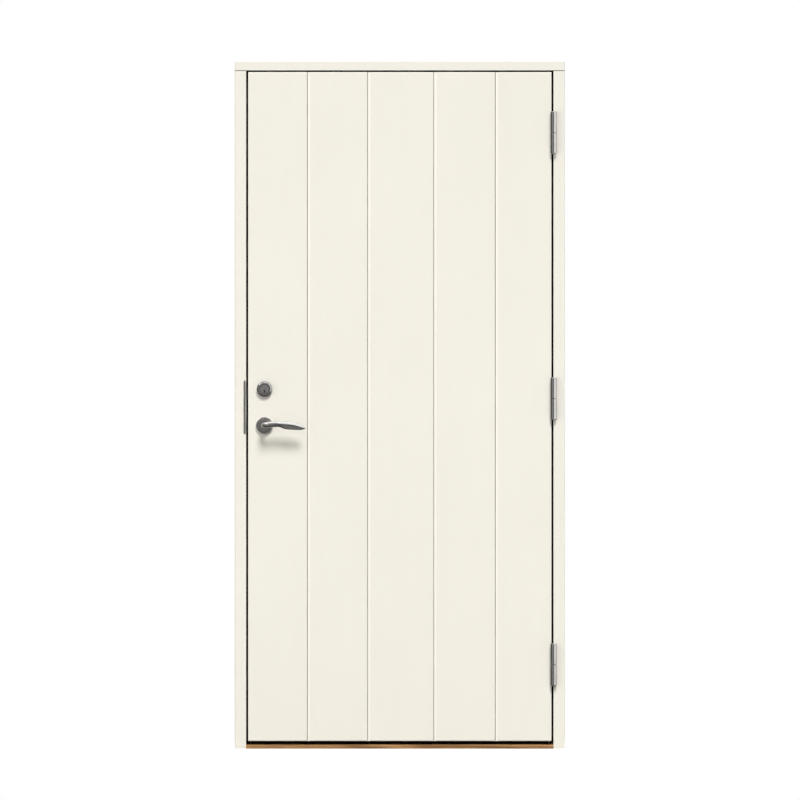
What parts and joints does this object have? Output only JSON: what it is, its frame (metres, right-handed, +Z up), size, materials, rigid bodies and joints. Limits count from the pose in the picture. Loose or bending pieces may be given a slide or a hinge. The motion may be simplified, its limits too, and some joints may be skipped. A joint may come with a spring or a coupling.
{
  "type": "exterior door",
  "caption": "Painted outward-opening exterior door with a vertically grooved leaf, a rebated timber frame, an oak threshold, lift-off hinges, a lever handle and a cylinder lock.",
  "frame": {"origin": "middle of the underside of the threshold, at half the frame's depth", "axes": "+X to the right seen from outside, +Y into the building, +Z up"},
  "size_m": [0.99, 0.1856, 2.062],
  "materials": {
    "frame_paint": "satin white paint on timber",
    "leaf_paint": "satin white paint on board",
    "oak": "oiled oak",
    "seal_rubber": "matt black",
    "foam_core": "insulating foam",
    "hinge_steel": "satin steel",
    "pin_steel": "ground steel",
    "lock_steel": "satin steel",
    "lever_steel": "satin nickel",
    "cylinder_steel": "satin nickel"
  },
  "bodies": {
    "frame": {"lock_jamb": "frame_paint", "hinge_jamb": "frame_paint", "frame_head": "frame_paint", "threshold": "oak", "lock_side_seal": "seal_rubber", "hinge_side_seal": "seal_rubber", "head_seal": "seal_rubber", "threshold_seal": "seal_rubber", "strike_plate": "lock_steel", "top_hinge_jamb_half": "hinge_steel", "middle_hinge_jamb_half": "hinge_steel", "bottom_hinge_jamb_half": "hinge_steel", "top_hinge_pin": "pin_steel", "middle_hinge_pin": "pin_steel", "bottom_hinge_pin": "pin_steel"},
    "leaf": {"outer_panel": "leaf_paint", "inner_panel": "leaf_paint", "lock_stile": "leaf_paint", "hinge_stile": "leaf_paint", "top_rail": "leaf_paint", "bottom_rail": "leaf_paint", "insulation_core": "foam_core", "lock_case": "lock_steel", "lock_forend": "lock_steel", "latch_bolt": "lock_steel", "dead_bolt": "lock_steel", "cylinder_ring": "cylinder_steel", "lock_cylinder": "cylinder_steel", "outside_rosette": "lever_steel", "inside_rosette": "lever_steel", "thumbturn_rosette": "cylinder_steel", "thumbturn": "cylinder_steel", "top_hinge_leaf_half": "hinge_steel", "middle_hinge_leaf_half": "hinge_steel", "bottom_hinge_leaf_half": "hinge_steel"},
    "lever": {"outside_lever": "lever_steel", "inside_lever": "lever_steel", "lever_spindle": "lever_steel"},
    "plug": {"key_plug": "cylinder_steel"}
  },
  "joints": [
    {"name": "leaf_swing", "type": "hinge", "parent": "frame", "child": "leaf", "pos_m": [0.4615, -0.0628, 0], "axis": [0, 0, 1], "range_deg": [0, 175]},
    {"name": "lever_turn", "type": "hinge", "parent": "leaf", "child": "lever", "pos_m": [-0.406, -0.0525, 0.97], "axis": [0, 1, 0], "range_deg": [0, 45], "stiffness_Nm_per_rad": 1.5, "springref_deg": -34.38},
    {"name": "key_turn", "type": "hinge", "parent": "leaf", "child": "plug", "pos_m": [-0.406, -0.0525, 1.0724], "axis": [0, 1, 0], "range_deg": [-90, 90]}
  ]
}
